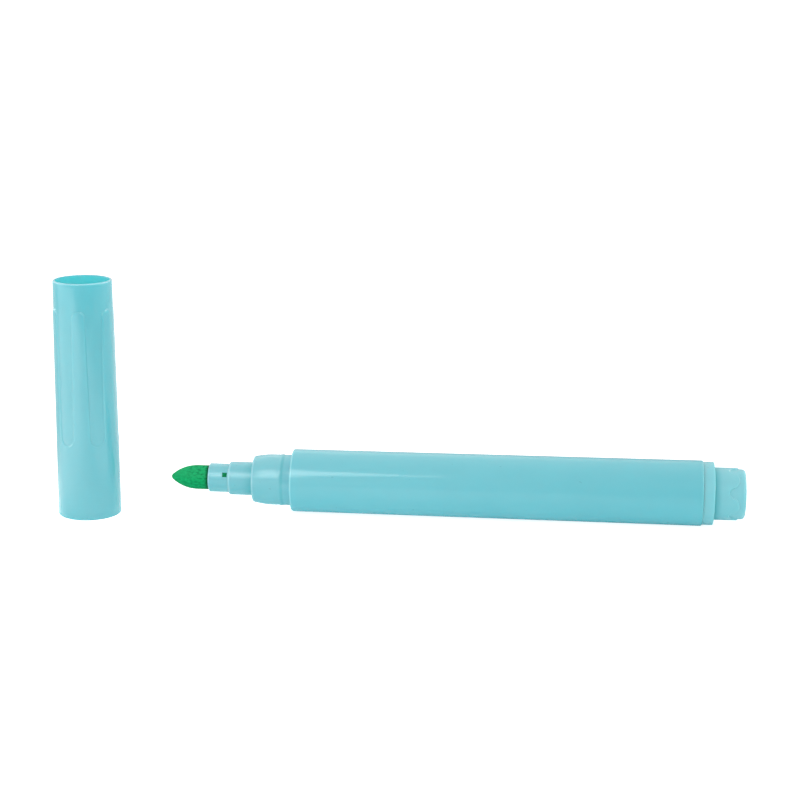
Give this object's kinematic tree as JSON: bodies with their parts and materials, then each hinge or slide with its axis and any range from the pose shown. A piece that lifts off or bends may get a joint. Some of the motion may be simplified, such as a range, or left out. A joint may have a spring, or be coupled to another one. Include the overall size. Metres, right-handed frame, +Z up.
{
  "type": "liquid chalk marker",
  "caption": "Pen-shaped marker lying on its side: bullet nib that presses open a spring valve, ink barrel with a loose mixing ball, tail plug, and a vented cap standing beside it.",
  "frame": {"origin": "middle of the footprint of the marker and its cap, on the surface that they rest on", "axes": "+X along the marker's axis towards its tail, +Z up, so the nib points to -X"},
  "size_m": [0.1644, 0.0216, 0.0571],
  "materials": {
    "aqua_plastic": "moulded gloss",
    "natural_plastic": "natural",
    "nib_fibre": "bonded fibre, inked",
    "gasket_rubber": "matte",
    "spring_steel": "drawn wire",
    "ball_steel": "polished"
  },
  "bodies": {
    "marker": {"barrel": "aqua_plastic", "nose_section": "aqua_plastic", "tail_plug": "aqua_plastic", "valve_body": "natural_plastic", "valve_gasket": "gasket_rubber", "valve_spring": "spring_steel", "valve_cage": "natural_plastic"},
    "nib_and_stem": {"nib": "nib_fibre", "valve_stem": "natural_plastic"},
    "ball": {"mixing_ball": "ball_steel"},
    "cap": {"cap_shell": "aqua_plastic", "cap_inner_seal": "natural_plastic"}
  },
  "joints": [
    {"name": "nib_press", "type": "slide", "parent": "marker", "child": "nib_and_stem", "axis": [1, 0, 0], "range_m": [0, 0.002], "stiffness_N_per_m": 600, "springref_m": -0.002, "deforming": ["valve_spring"]},
    {"name": "ball_travel", "type": "slide", "parent": "marker", "child": "ball", "axis": [1, 0, 0], "range_m": [-0.04506, 0.02477]},
    {"name": "cap_lift", "type": "slide", "parent": "marker", "child": "cap", "axis": [0, 0, 1], "range_m": [0, 0.08]}
  ]
}
